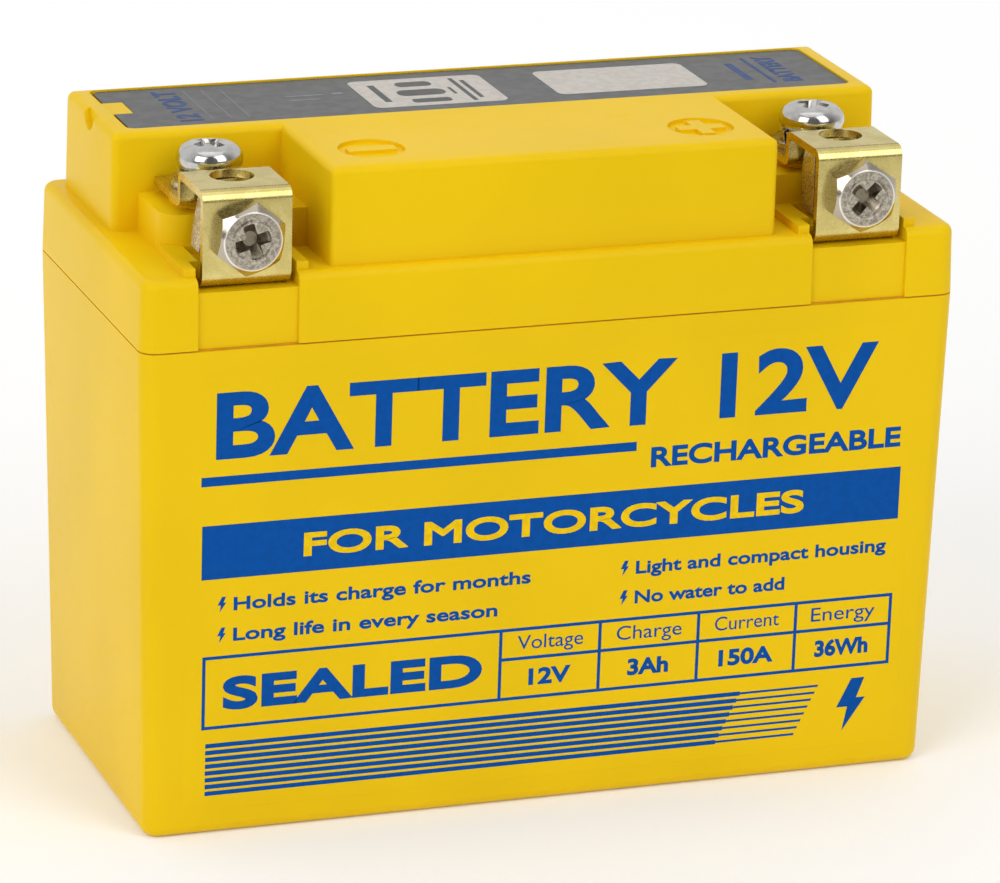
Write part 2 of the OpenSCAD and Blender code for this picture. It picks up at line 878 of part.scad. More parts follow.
// End link with a bent-up tab for the lead
module end_link(side)
    union() {
        column = side == NEG ? 0 : columns - 1;
        link_plate(column, column, cell_top_z);
        edge = (columns - 1) / 2 * cell_pitch + link_w / 2 - 1;
        slab(
            side == NEG ? [-link_tab_x, -edge] : [edge, link_tab_x],
            link_tab_y, [cell_top_z, cell_top_z + link_t]
        );
        slab(
            side == NEG ? [-link_tab_x, link_t - link_tab_x] : [link_tab_x - link_t, link_tab_x],
            link_tab_y, [cell_top_z, cell_top_z + link_tab_h]
        );
    }

module link_negative() color("gainsboro") end_link(NEG);
module link_positive() color("gainsboro") end_link(POS);

// Link over two columns, with a small tab at the back for its balance wire
module tabbed_link(first, last, z, tab_x, tab_end_y)
    union() {
        link_plate(first, last, z);
        slab(
            [tab_x - sense_tab_w / 2, tab_x + sense_tab_w / 2],
            [link_half_y - link_r, tab_end_y], [z, z + link_t]
        );
    }

module link_middle() color("gainsboro")
    tabbed_link(1, 2, cell_top_z, middle_tab_x, middle_tab_end_y);
module link_lower_left() color("gainsboro")
    tabbed_link(0, 1, lower_link_z, -down_wire_x, lower_tab_end_y);
module link_lower_right() color("gainsboro")
    tabbed_link(2, 3, lower_link_z, down_wire_x, lower_tab_end_y);

// Insulating sheet over the cell tops, pierced for the board's posts
module top_insulator() color("teal")
    difference() {
        plate(
            [-holder_l / 2 + 1, holder_l / 2 - 1], [-insulator_half_y, insulator_half_y],
            [top_insulator_z, top_insulator_z + insulator_t], holder_r
        );
        for (x = [-post_x, post_x], y = post_y)
            translate([x, y, top_insulator_z - 1])
                cylinder(h = 2, r = stand_r + holder_gap);
    }

module base_foam() color("darkslategray")
    plate(
        [-base_foam_half_l, base_foam_half_l], [-base_foam_half_w, base_foam_half_w],
        [wall, wall + foam_t], holder_r
    );

module end_foam(side) color("darkslategray")
    plate(
        side == NEG ? [-end_foam_x[1], -end_foam_x[0]] : end_foam_x,
        [-end_foam_half_w, end_foam_half_w], [wall + foam_t, end_foam_top_z], end_foam_r
    );

// ---------- balance board ----------

module balance_board() color("darkgreen")
    difference() {
        plate([-board_half_l, board_half_l], board_y, [board_z, board_top_z], board_r);
        for (x = [-post_x, post_x], y = post_y)
            translate([x, y, board_z - 1])
                cylinder(h = board_t + 2, r = board_screw_r + 0.25);
    }

// One switch chip for each pair of cells
module board_chips() color("black")
    for (x = chip_x) {
        slab([x - chip_l / 2, x + chip_l / 2], [chip_y - chip_w / 2, chip_y + chip_w / 2], chip_z);
        for (k = [-1.5:1:1.5], s = [-1, 1])
            translate([x + k * leg_pitch, chip_y + s * leg_y, board_top_z + leg[2] / 2])
                cube(leg, center = true);
    }

// Banks of chip resistors that bleed the fuller cells
module board_resistors() color("black")
    for (x = chip_x, y = resistor_y)
        slab(
            [x - resistor_l / 2, x + resistor_l / 2], [y - resistor_w / 2, y + resistor_w / 2],
            [board_top_z, board_top_z + resistor_h]
        );

module board_header() color("ivory")
    difference() {
        slab(header_x, header_y, [board_top_z, board_top_z + header_h]);
        slab(
            [header_x[0] - 1, header_x[1] - header_back],
            [header_y[0] + plug_inset, header_y[1] - plug_inset],
            [board_top_z + header_wall, board_top_z + header_h - header_wall]
        );
    }

module balance_plug() color("ivory") {
    mid_y = (header_y[0] + header_y[1]) / 2;
    y = [header_y[0] + plug_inset + 0.1, header_y[1] - plug_inset - 0.1];
    z = [wire_z - plug_h / 2 + 0.2, wire_z + plug_h / 2 - 0.2];
    difference() {
        slab([plug_x[0], header_x[1] - 2.2], y, z);
        for (k = [0:pins - 1])
            translate([plug_x[0] - 1, mid_y + (k - 2) * pin_pitch, wire_z])
                rotate([0, 90, 0])
                    cylinder(h = 3, r = wire_r + 0.3);
    }
}

// Balance wires, one from each pin of the plug to a link
wire_routes = [
    [[-25.5, 3, 77.3], [-27.9, 3, 77.3], [-31, 3.6, 77.2], [-35, 6, 76.4], [-37.6, 10, 74.6],
        [-38.2, 12.6, 72.4], [-38.2, 12.8, 70]],
    [[-25.5, 5, 77.3], [-27.9, 5, 77.3], [-31, 6.4, 77], [-33.4, 10, 75.8], [-33.8, 14, 73.8],
        [-33.6, 17.6, 71.2], [-33.5, 20.4, 68], [-33.5, 20.75, 62], [-33.5, 20.75, 32], [-33.5, 20.75, 2.8]],
    [[-25.5, 7, 77.3], [-27.9, 7, 77.3], [-30.6, 8.6, 78.8], [-31.8, 12, 80.4], [-29.4, 15.6, 81],
        [-22, 16.5, 81], [0, 16.5, 81], [20, 16.2, 80.6], [30, 14.6, 78.4], [36.4, 13.2, 75],
        [38.2, 12.8, 72.4], [38.2, 12.8, 70]],
    [[-25.5, 9, 77.3], [-27.9, 9, 77.3], [-29.6, 10.4, 77.8], [-30, 13, 78.8], [-28, 16.2, 79.4],
        [-22, 17.5, 79.5], [0, 17.5, 79.5], [20, 17.5, 79.2], [28, 17.6, 77.2], [32, 17.6, 73.8],
        [33.4, 18.4, 70.2], [33.5, 20.5, 67], [33.5, 20.75, 61], [33.5, 20.75, 32], [33.5, 20.75, 2.8]],
    [[-25.5, 11, 77.3], [-27.9, 11, 77.3], [-28.6, 13, 76.2], [-27, 15.6, 74], [-23.6, 17.6, 72.2],
        [-18, 18.3, 71], [-13, 18.3, 70.4], [-12, 18.3, 69.4], [-12, 18.3, 68.05]]
];
module balance_wires() color("crimson")
    for (route = wire_routes)
        swept_tube(smooth(route, 2), wire_r, 8);

module board_screws() color("silver")
    for (x = [-post_x, post_x], y = post_y)
        translate([x, y, board_top_z]) {
            cylinder(h = board_screw_head_h, r = board_screw_head_r);
            translate([0, 0, -board_screw_len])
                cylinder(h = board_screw_len + eps, r = board_screw_r);
        }

case();
lid();
seam_bead();
top_cover();
top_label();
front_label();
bracket(NEG);  // neg_bracket
bolt(NEG);  // neg_bolt
square_nut(NEG);  // neg_square_nut
fixing_screw(NEG);  // neg_fixing_screw
spring_washer(NEG);  // neg_spring_washer
flat_washer(NEG);  // neg_flat_washer
post(NEG);  // neg_post
lug(NEG);  // neg_lug
lead(NEG);  // neg_lead
bracket(POS);  // pos_bracket
bolt(POS);  // pos_bolt
square_nut(POS);  // pos_square_nut
fixing_screw(POS);  // pos_fixing_screw
spring_washer(POS);  // pos_spring_washer
flat_washer(POS);  // pos_flat_washer
post(POS);  // pos_post
lug(POS);  // pos_lug
lead(POS);  // pos_lead
cell(1);  // cell_1
cell(2);  // cell_2
cell(3);  // cell_3
cell(4);  // cell_4
cell(5);  // cell_5
cell(6);  // cell_6
cell(7);  // cell_7
cell(8);  // cell_8
cell_sleeve(1);  // cell_sleeve_1
cell_sleeve(2);  // cell_sleeve_2
cell_sleeve(3);  // cell_sleeve_3
cell_sleeve(4);  // cell_sleeve_4
cell_sleeve(5);  // cell_sleeve_5
cell_sleeve(6);  // cell_sleeve_6
cell_sleeve(7);  // cell_sleeve_7
cell_sleeve(8);  // cell_sleeve_8
lower_cell_holder();
upper_cell_holder();
link_negative();
link_middle();
link_positive();
link_lower_left();
link_lower_right();
top_insulator();
base_foam();
end_foam(NEG);  // end_foam_left
end_foam(POS);  // end_foam_right
balance_board();
board_chips();
board_resistors();
board_header();
balance_plug();
balance_wires();
board_screws();
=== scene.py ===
# Looks of a small motorcycle battery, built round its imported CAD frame.
# Lengths are in metres unless a name or a comment says mm.
import json
import math

import bmesh
import bpy
from mathutils import Matrix, Vector

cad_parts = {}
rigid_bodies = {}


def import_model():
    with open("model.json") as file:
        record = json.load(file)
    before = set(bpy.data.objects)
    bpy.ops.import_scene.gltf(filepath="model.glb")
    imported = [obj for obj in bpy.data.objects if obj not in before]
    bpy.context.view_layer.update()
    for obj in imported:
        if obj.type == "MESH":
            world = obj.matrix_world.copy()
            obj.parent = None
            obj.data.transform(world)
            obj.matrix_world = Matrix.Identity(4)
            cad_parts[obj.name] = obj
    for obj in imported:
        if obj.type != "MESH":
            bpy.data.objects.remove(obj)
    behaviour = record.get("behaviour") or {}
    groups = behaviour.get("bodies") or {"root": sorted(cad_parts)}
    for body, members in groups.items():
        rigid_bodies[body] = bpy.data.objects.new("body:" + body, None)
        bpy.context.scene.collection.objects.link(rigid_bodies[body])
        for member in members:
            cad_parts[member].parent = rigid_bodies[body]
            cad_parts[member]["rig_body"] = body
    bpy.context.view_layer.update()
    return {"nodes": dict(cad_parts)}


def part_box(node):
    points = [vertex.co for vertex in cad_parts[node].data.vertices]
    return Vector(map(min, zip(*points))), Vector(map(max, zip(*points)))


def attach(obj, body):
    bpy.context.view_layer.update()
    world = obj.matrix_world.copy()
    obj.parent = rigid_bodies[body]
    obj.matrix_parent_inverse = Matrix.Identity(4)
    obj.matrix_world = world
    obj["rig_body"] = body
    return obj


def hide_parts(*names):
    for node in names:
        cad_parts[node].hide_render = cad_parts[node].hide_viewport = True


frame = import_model()
NODES = frame["nodes"]

MM = 0.001

# Camera: the viewing angle, seen from above the front left corner
VIEW_AZIMUTH = math.radians(19.607)
VIEW_ELEVATION = math.radians(18.198)
VIEW_ROLL = math.radians(1.597)
VIEW_DISTANCE = 742.96 * MM
VIEW_TARGET = Vector((1.43, 0, 40.56)) * MM
LENS_MM = 207.33
SENSOR_MM = 36.0

# Colours, linear
YELLOW = (0.885, 0.580, 0.004)
INK_BLUE = (0.0, 0.078, 0.360)
LABEL_GREY = (0.074, 0.075, 0.074)
PATCH_WHITE = (0.58, 0.54, 0.49)
LABEL_BLUE = (0.045, 0.085, 0.230)

# Outer radius of the bracket's upper bend
BEND_R = 1.4 * MM
# Radius of the flat face of the bolt head, and of the raised ring round its recess
BOLT_FACE_R = 3.65 * MM
RECESS_RING_R = 2.45 * MM

# Curves of the CAD shapes are shaded smooth below this angle, and harder edges are softened
SMOOTH_ANGLE = math.radians(28)
WELD_GAP = 0.0005 * MM
FLAT_ANGLE = math.radians(0.05)


# ---------------------------------------------------------------- materials

class Shader:
    """A node material, built one node at a time."""

    def __init__(self, name, color, roughness, metallic=0.0, **sockets):
        self.material = bpy.data.materials.new(name)
        self.material.use_nodes = True
        self.tree = self.material.node_tree
        self.tree.nodes.clear()
        self.out = self.tree.nodes.new("ShaderNodeOutputMaterial")
        self.bsdf = self.tree.nodes.new("ShaderNodeBsdfPrincipled")
        self.tree.links.new(self.bsdf.outputs["BSDF"], self.out.inputs["Surface"])
        self.bsdf.inputs["Base Color"].default_value = (*color, 1)
        self.bsdf.inputs["Roughness"].default_value = roughness
        self.bsdf.inputs["Metallic"].default_value = metallic
        for socket, value in sockets.items():
            self.bsdf.inputs[socket.replace("_", " ")].default_value = value
        self.coords = self.tree.nodes.new("ShaderNodeTexCoord").outputs["Object"]
        self.height = None

    def node(self, kind, inputs=None, **settings):
        n = self.tree.nodes.new(kind)
        for key, value in settings.items():
            setattr(n, key, value)
        for key, value in (inputs or {}).items():
            if isinstance(value, bpy.types.NodeSocket):
                self.tree.links.new(value, n.inputs[key])
            else:
                n.inputs[key].default_value = value
        return n

    def noise(self, grain_mm, detail=3.0, rough=0.5, stretch=(1, 1, 1), distortion=0.0):
        """Noise whose features are about grain_mm across, or stretched along an axis."""
        scaled = self.node("ShaderNodeMapping", {"Vector": self.coords, "Scale": stretch})
        return self.node(
            "ShaderNodeTexNoise",
            {"Vector": scaled.outputs[0], "Scale": 1 / (grain_mm * MM), "Detail": detail,
             "Roughness": rough, "Distortion": distortion},
        ).outputs[0]

    def cells(self, grain_mm):
        """Distance to the nearest of many random points, about grain_mm apart."""
        scale = 1 / (grain_mm * MM)
        return self.node("ShaderNodeTexVoronoi", {"Vector": self.coords, "Scale": scale}).outputs[0]

    def spread(self, value, low, high, out_low=0.0, out_high=1.0):
        """value moved smoothly from the range low..high to the range out_low..out_high."""
        return self.node(
            "ShaderNodeMapRange",
            {"Value": value, "From Min": low, "From Max": high, "To Min": out_low, "To Max": out_high},
            interpolation_type="SMOOTHSTEP",
        ).outputs[0]

    def math(self, operation, a, b):
        return self.node("ShaderNodeMath", {0: a, 1: b}, operation=operation).outputs[0]

    def mix(self, factor, a, b):
        n = self.node("ShaderNodeMix", data_type="RGBA")
        for socket, value in ((0, factor), (6, a), (7, b)):
            if isinstance(value, bpy.types.NodeSocket):
                self.tree.links.new(value, n.inputs[socket])
            else:
                n.inputs[socket].default_value = value if socket == 0 else (*value, 1)
        return n.outputs[2]

    def axis(self, name):
        """One coordinate of the object, in metres."""
        return self.node("ShaderNodeSeparateXYZ", {0: self.coords}).outputs[name]

    def off(self, value, middle):
        """How far value is from middle."""
        return self.math("ABSOLUTE", self.math("SUBTRACT", value, middle), 0.0)

    def color(self, value):
        self.tree.links.new(value, self.bsdf.inputs["Base Color"])

    def roughness(self, value):
        self.tree.links.new(value, self.bsdf.inputs["Roughness"])

    def bump(self, value, depth_mm):
        """Adds a bump of that depth over the bumps before it."""
        inputs = {"Height": value, "Strength": 1.0, "Distance": depth_mm * MM}
        if self.height is not None:
            inputs["Normal"] = self.height
        self.height = self.node("ShaderNodeBump", inputs).outputs[0]
        self.tree.links.new(self.height, self.bsdf.inputs["Normal"])


def tint(color, factor):
    """The colour made darker or brighter."""
    return tuple(min(1.0, c * factor) for c in color)


def moulded_plastic(name, color, roughness=0.34, deeper=0.95):
    """Smooth injection moulding: fine texture, faint flow marks and a few dull scuffs."""
    s = Shader(name, color, roughness, Specular_IOR_Level=0.09)
    flow = s.noise(26, 2.0, 0.45, (1, 1, 0.6))
    s.color(s.mix(s.spread(flow, 0.35, 0.65), tint(color, deeper), color))
    scuff = s.spread(s.noise(3.2, 5.0, 0.62, (1, 1, 2.2)), 0.54, 0.74, roughness, roughness + 0.10)
    s.roughness(scuff)
    s.bump(s.noise(0.32, 2.0, 0.5), 0.0035)
    s.bump(s.noise(5.5, 1.0, 0.4), 0.012)
    return s.material


def printed_film(name, color, roughness=0.30):
    """Printed label film, with a very slight ripple."""
    s = Shader(name, color, roughness, Specular_IOR_Level=0.45)
    s.color(s.mix(s.spread(s.noise(14, 2.0), 0.4, 0.6), tint(color, 0.97), tint(color, 1.02)))
    s.roughness(s.spread(s.noise(1.8, 4.0), 0.3, 0.7, roughness - 0.03, roughness + 0.05))
    s.bump(s.noise(4.0, 1.0), 0.006)
    return s.material


def ink(name, color, roughness=0.42):
    """Screen printing ink, slightly uneven."""
    s = Shader(name, color, roughness, Specular_IOR_Level=0.08)
    s.color(s.mix(s.spread(s.noise(0.9, 3.0), 0.35, 0.65), tint(color, 0.92), tint(color, 1.04)))
    s.roughness(s.spread(s.noise(2.4, 3.0), 0.3, 0.7, roughness - 0.04, roughness + 0.05))
    s.bump(s.noise(0.25, 2.0), 0.001)
    return s.material


def yellow_brass(name, reflection_line_y, reflection_line_z):
    """Yellow passivated strip: rolling grain, fine specks and a painted dark reflection line, dotted, where
    the top meets the upper bend.
    """
    s = Shader(name, (0.74, 0.61, 0.24), 0.25, 1.0)
    cloud = s.spread(s.noise(3.4, 3.0, 0.55), 0.38, 0.62)
    base = s.mix(cloud, (0.66, 0.540, 0.185), (0.76, 0.630, 0.240))
    speck = s.spread(s.noise(0.16, 3.0, 0.6), 0.52, 0.74)
    worn = s.mix(s.math("MULTIPLY", speck, 0.24), base, (0.33, 0.26, 0.07))
    # Painted reflection: a dark dotted line along the top of the upper bend, where a dark reflection falls
    line = s.spread(s.off(s.axis("Y"), reflection_line_y), 0.24 * MM, 0.10 * MM)
    dots = s.spread(s.noise(0.22, 2.0), 0.34, 0.52)
    near_top = s.spread(s.axis("Z"), reflection_line_z - 0.25 * MM, reflection_line_z - 0.10 * MM)
    painted_reflection_line = s.math("MULTIPLY", s.math("MULTIPLY", line, dots), near_top)
    s.color(s.mix(s.math("MULTIPLY", painted_reflection_line, 0.8), worn, (0.12, 0.09, 0.02)))
    s.roughness(s.spread(s.noise(0.45, 3.0, 0.5), 0.3, 0.7, 0.23, 0.30))
    s.bump(s.noise(0.20, 2.0, 0.5, (0.3, 1, 1)), 0.0006)
    s.bump(s.noise(1.6, 2.0), 0.0040)
    return s.material


def zinc_plate(name, color=(0.60, 0.58, 0.54), roughness=0.30, pits=0.004):
    """Cold-forged steel with zinc plating: small pits and a cloudy shine."""
    s = Shader(name, color, roughness, 1.0)
    grain = s.noise(0.30, 4.0, 0.62)
    s.color(s.mix(s.spread(grain, 0.38, 0.64), tint(color, 0.60), tint(color, 1.15)))
    s.roughness(s.spread(s.noise(0.22, 3.0), 0.3, 0.7, roughness - 0.08, roughness + 0.12))
    s.bump(grain, pits)
    return s.material


def zinc_head(name, axis_x, axis_z, face_y):
    """Zinc-plated bolt head round that axis: stamped face, a painted highlight on its rim, smooth corners
    and painted shade in its recess.
    """
    color = (0.50, 0.445, 0.355)
    s = Shader(name, color, 0.32, 1.0)
    flat = s.node("ShaderNodeMapping", {"Vector": s.coords, "Scale": (1, 0, 1)}).outputs[0]
    centre = (axis_x, 0, axis_z)
    radius = s.node("ShaderNodeVectorMath", {0: flat, 1: centre}, operation="DISTANCE").outputs["Value"]
    grain = s.noise(0.55, 5.0, 0.6, distortion=0.9)
    stamped = s.spread(radius, BOLT_FACE_R - 0.10 * MM, BOLT_FACE_R - 0.30 * MM)
    plate = s.mix(s.spread(grain, 0.40, 0.62), tint(color, 0.60), tint(color, 1.18))
    face = s.mix(stamped, color, plate)
    # Painted highlight: a pale ring on the face's rim, where its chamfer catches the light
    painted_rim_highlight = s.spread(s.off(radius, BOLT_FACE_R), 0.13 * MM, 0.05 * MM)
    highlighted_face = s.mix(painted_rim_highlight, face, (0.88, 0.85, 0.78))
    # Painted shade: the recess round the axis is darkened more the deeper it goes
    deep = s.spread(s.axis("Y"), face_y + 0.15 * MM, face_y + 0.70 * MM)
    inner = s.spread(radius, RECESS_RING_R + 0.30 * MM, RECESS_RING_R)
    painted_recess_shade = s.math("MULTIPLY", s.math("MULTIPLY", deep, inner), 0.8)
    s.color(s.mix(painted_recess_shade, highlighted_face, (0.24, 0.20, 0.14)))
    rough = s.spread(grain, 0.3, 0.7, 0.26, 0.40)
    s.roughness(s.math("MULTIPLY", rough, s.spread(stamped, 0.0, 1.0, 0.5, 1.0)))
    s.bump(s.math("MULTIPLY", grain, stamped), 0.016)
    s.bump(s.spread(s.off(radius, RECESS_RING_R), 0.35 * MM, 0.0), 0.07)
    return s.material


def bright_chrome(name):
    """Polished plating with hairlines round it."""
    s = Shader(name, (0.58, 0.57, 0.55), 0.17, 1.0)
    s.color(s.mix(s.spread(s.noise(1.1, 3.0), 0.35, 0.65), (0.53, 0.52, 0.50), (0.63, 0.62, 0.60)))
    s.roughness(s.spread(s.noise(0.6, 3.0), 0.35, 0.75, 0.13, 0.20))
    s.bump(s.noise(0.6, 2.0, 0.5, (1, 1, 4)), 0.0010)
    return s.material


def brushed_metal(name, color, roughness, grain=(0.15, 1, 1)):
    """Rolled or turned metal with its grain along one axis."""
    s = Shader(name, color, roughness, 1.0)
    s.color(s.mix(s.spread(s.noise(1.2, 3.0), 0.35, 0.65), tint(color, 0.85), tint(color, 1.06)))
    s.roughness(s.spread(s.noise(0.2, 3.0, 0.5, grain), 0.3, 0.7, roughness - 0.06, roughness + 0.10))
    s.bump(s.noise(0.12, 2.0, 0.5, grain), 0.003)
    return s.material


def dull_plastic(name, color, roughness=0.55, grain_mm=0.4, depth_mm=0.006):
    """Matte plastic, rubber, foam or paper, by the size of its grain."""
    s = Shader(name, color, roughness, Specular_IOR_Level=0.4)
    s.color(s.mix(s.spread(s.noise(grain_mm * 8, 3.0), 0.35, 0.65), tint(color, 0.88), tint(color, 1.08)))
    s.roughness(s.spread(s.noise(grain_mm * 3, 3.0), 0.3, 0.7, roughness - 0.06, roughness + 0.08))
    s.bump(s.noise(grain_mm, 3.0), depth_mm)
    return s.material


def circuit_board(name):
    """Green solder mask with paler tracks under it."""
    s = Shader(name, (0.02, 0.17, 0.06), 0.28)
    tracks = s.spread(s.cells(2.4), 0.10, 0.14)
    s.color(s.mix(tracks, (0.05, 0.30, 0.12), (0.015, 0.15, 0.05)))
    s.roughness(s.spread(s.noise(0.8, 3.0), 0.3, 0.7, 0.22, 0.36))
    s.bump(tracks, 0.01)
    return s.material


HOUSING = moulded_plastic("housing_yellow", YELLOW)
COVER = moulded_plastic("cover_yellow", tint(YELLOW, 0.98), 0.36)
# Glue bead along the lid's seam; its dark orange is painted shade standing in for the shadowed groove
SEAM_SHADE_BEAD = dull_plastic("seam_bead", (0.62, 0.30, 0.004), 0.42, 0.5, 0.01)
BLUE = ink("print_blue", INK_BLUE)
PRINT_YELLOW = ink("print_yellow", YELLOW)
GREY = printed_film("label_grey", LABEL_GREY, 0.36)
WHITE = ink("patch_white", PATCH_WHITE)
PRINT_GREY = ink("patch_print", (0.12, 0.12, 0.12))
FAINT_BLUE = ink("label_blue", LABEL_BLUE)
FAINT_GREY = ink("label_faint", (0.24, 0.24, 0.24))
ZINC_SMOOTH = zinc_plate("washer_zinc", (0.64, 0.63, 0.61), 0.22, 0.002)
ZINC_NUT = zinc_plate("nut_zinc", (0.86, 0.84, 0.80), 0.36, 0.002)
CHROME = bright_chrome("screw_chrome")

INNER = {
    "post": brushed_metal("turned_brass", (0.74, 0.58, 0.26), 0.24, (1, 1, 0.2)),
    "lug": brushed_metal("tinned_copper", (0.66, 0.64, 0.60), 0.30),
    "neg_lead": dull_plastic("lead_black", (0.012, 0.012, 0.012), 0.5, 0.3),
    "pos_lead": dull_plastic("lead_red", (0.45, 0.015, 0.01), 0.5, 0.3),
    "cell_sleeve": printed_film("cell_sleeve_blue", (0.02, 0.10, 0.32), 0.26),
    "cell_holder": dull_plastic("holder_black", (0.02, 0.02, 0.022), 0.5, 0.35),
    "cell": brushed_metal("cell_nickel", (0.66, 0.65, 0.63), 0.26, (1, 1, 0.2)),
    "link": brushed_metal("nickel_strip", (0.68, 0.66, 0.60), 0.30),
    "insulator": dull_plastic("insulator_green", (0.05, 0.25, 0.18), 0.6, 0.25),
    "foam": dull_plastic("foam_grey", (0.03, 0.03, 0.035), 0.85, 0.6, 0.08),
    "balance_board": circuit_board("board_green"),
    "chips": dull_plastic("chip_black", (0.015, 0.015, 0.016), 0.45, 0.15),
    "resistors": dull_plastic("resistor_black", (0.02, 0.02, 0.025), 0.35, 0.15),
    "header": dull_plastic("connector_ivory", (0.66, 0.60, 0.46), 0.45, 0.3),
    "plug": dull_plastic("plug_ivory", (0.70, 0.64, 0.50), 0.45, 0.3),
    "wires": dull_plastic("wire_red", (0.40, 0.02, 0.015), 0.42, 0.3),
    "board_screws": ZINC_SMOOTH,
}


def dress(obj, material):
    """Gives the object that material only."""
    obj.data.materials.clear()
    obj.data.materials.append(material)
    return obj


# ---------------------------------------------------------------- pieces

def new_piece(name, mesh, material, body="root"):
    obj = bpy.data.objects.new(name, mesh)
    bpy.context.scene.collection.objects.link(obj)
    dress(obj, material)
    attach(obj, body)
    return obj


def finished_copy(node, name, material, edge_mm):
    """The CAD node's own shape with its corners welded, its edges softened and its curves shaded smooth."""
    mesh = NODES[node].data.copy()
    mesh.name = name
    bm = bmesh.new()
    bm.from_mesh(mesh)
    bmesh.ops.remove_doubles(bm, verts=bm.verts, dist=WELD_GAP)
    bmesh.ops.dissolve_degenerate(bm, edges=bm.edges, dist=WELD_GAP)
    bmesh.ops.dissolve_limit(
        bm, angle_limit=FLAT_ANGLE, use_dissolve_boundaries=False, verts=bm.verts, edges=bm.edges
    )
    for face in bm.faces:
        face.smooth = True
    for edge in bm.edges:
        edge.smooth = len(edge.link_faces) == 2 and edge.calc_face_angle(0) < SMOOTH_ANGLE
    bm.to_mesh(mesh)
    bm.free()
    if "custom_normal" in mesh.attributes:
        mesh.attributes.remove(mesh.attributes["custom_normal"])
    obj = new_piece(name, mesh, material, NODES[node]["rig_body"])
    bevel = obj.modifiers.new("soft_edges", "BEVEL")
    bevel.width = edge_mm * MM
    bevel.segments = 2
    bevel.limit_method = "ANGLE"
    bevel.angle_limit = SMOOTH_ANGLE
    bevel.harden_normals = True
    bevel.use_clamp_overlap = True
    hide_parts(node)
    return obj


def build_front_film():
    """Clear film over the front print, in place of the CAD node: its rim thins out over a short slope."""
    low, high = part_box("front_label")
    plane = front_plane()
    up = plane.inverted()
    foot = (up @ Vector((0, low.y, low.z))).y / MM
    top = (up @ Vector((0, high.y, high.z))).y / MM
    x0, x1 = low.x / MM, high.x / MM
    outer = rounded(x0, x1, foot, top, FILM_CORNER)
    inner = rounded(x0 + FILM_SLOPE, x1 - FILM_SLOPE, foot + FILM_SLOPE, top - FILM_SLOPE, FILM_CORNER)
    n = len(outer)
    points = [(x * MM, y * MM, ADHESIVE_T - FILM_T) for x, y in outer]
    points += [(x * MM, y * MM, 0) for x, y in inner]
    faces = [tuple(range(n))[::-1], tuple(range(n, 2 * n))]
    faces += [(i, (i + 1) % n, n + (i + 1) % n, n + i) for i in range(n)]
    mesh = bpy.data.meshes.new("front_film")
    mesh.from_pydata(points, [], faces)
    mesh.transform(plane)
    film = new_piece("front_film", mesh, HOUSING)
    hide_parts("front_label")


def build_housing():
    finished_copy("case", "case_shell", HOUSING, 0.12)
    finished_copy("lid", "lid_shell", HOUSING, 0.22)
    finished_copy("top_cover", "top_cover_plate", COVER, 0.12)
    dress(NODES["seam_bead"], SEAM_SHADE_BEAD)
    build_front_film()
    dress(NODES["top_label"], GREY)


def build_terminal(side):
    """Bracket, bolt, nut, screw and washers of one terminal."""
    low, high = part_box(f"{side}_bracket")
    brass = yellow_brass(f"{side}_bracket_brass", low.y + BEND_R, high.z)
    low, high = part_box(f"{side}_bolt")
    zinc = zinc_head(f"{side}_bolt_zinc", (low.x + high.x) / 2, (low.z + high.z) / 2, low.y)
    for node, name, material, edge_mm, slot in (
        ("bracket", "bent_bracket", brass, 0.10, "bracket_brass"),
        ("bolt", "hex_bolt", zinc, 0.07, "bolt_steel"),
        ("square_nut", "nut", ZINC_NUT, 0.12, "bolt_steel"),
        ("fixing_screw", "pan_screw", CHROME, 0.05, "screw_chrome"),
        ("spring_washer", "lock_washer", ZINC_SMOOTH, 0.12, "washer_steel"),
        ("flat_washer", "plain_washer", ZINC_SMOOTH, 0.12, "washer_steel"),
    ):
        finished_copy(f"{side}_{node}", f"{side}_{name}", material, edge_mm)


def build_inside():
    """Every sealed node keeps its CAD shape and gets its own material."""
    for name, obj in NODES.items():
        key = next((k for k in INNER if k in name), None)
        if key and not obj.hide_render:
            dress(obj, INNER[key])


# ---------------------------------------------------------------- printing

# Front film's round corners and the slope of its rim, in mm
FILM_CORNER = 1.2
FILM_SLOPE = 1.6

# Thickness of film and adhesive; ink goes a little into the film and stands a little proud of it
FILM_T = 0.06 * MM
ADHESIVE_T = 0.005 * MM
INK_DEPTH = 0.01 * MM
INK_PROUD = 0.02 * MM


def front_plane():
    """Matrix from print coordinates (x along, y up the drafted wall, z out) to the film's surface."""
    low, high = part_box("front_label")
    tilt = math.atan2(high.y - low.y - FILM_T, high.z - low.z)
    up = Vector((0, -math.sin(tilt), math.cos(tilt)))
    out = Vector((0, -math.cos(tilt), -math.sin(tilt)))
    foot = Vector((0, low.y, high.z)) - up * high.z / math.cos(tilt)
    m = Matrix((Vector((1, 0, 0)), up, out)).transposed().to_4x4()
    m.translation = foot
    return m


def top_plane():
    """Matrix from print coordinates (x along, y back, z up) to the top label's surface."""
    return Matrix.Translation((0, 0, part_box("top_label")[1].z))


def slab_mesh(bm, outline):
    """Adds a closed slab of ink with this outline, in mm on the print plane."""
    low = [bm.verts.new((x * MM, y * MM, -INK_DEPTH)) for x, y in outline]
    high = [bm.verts.new((x * MM, y * MM, INK_PROUD)) for x, y in outline]
    bm.faces.new(high)
    bm.faces.new(low[::-1])
    n = len(outline)
    for i in range(n):
        j = (i + 1) % n
        bm.faces.new((low[i], low[j], high[j], high[i]))


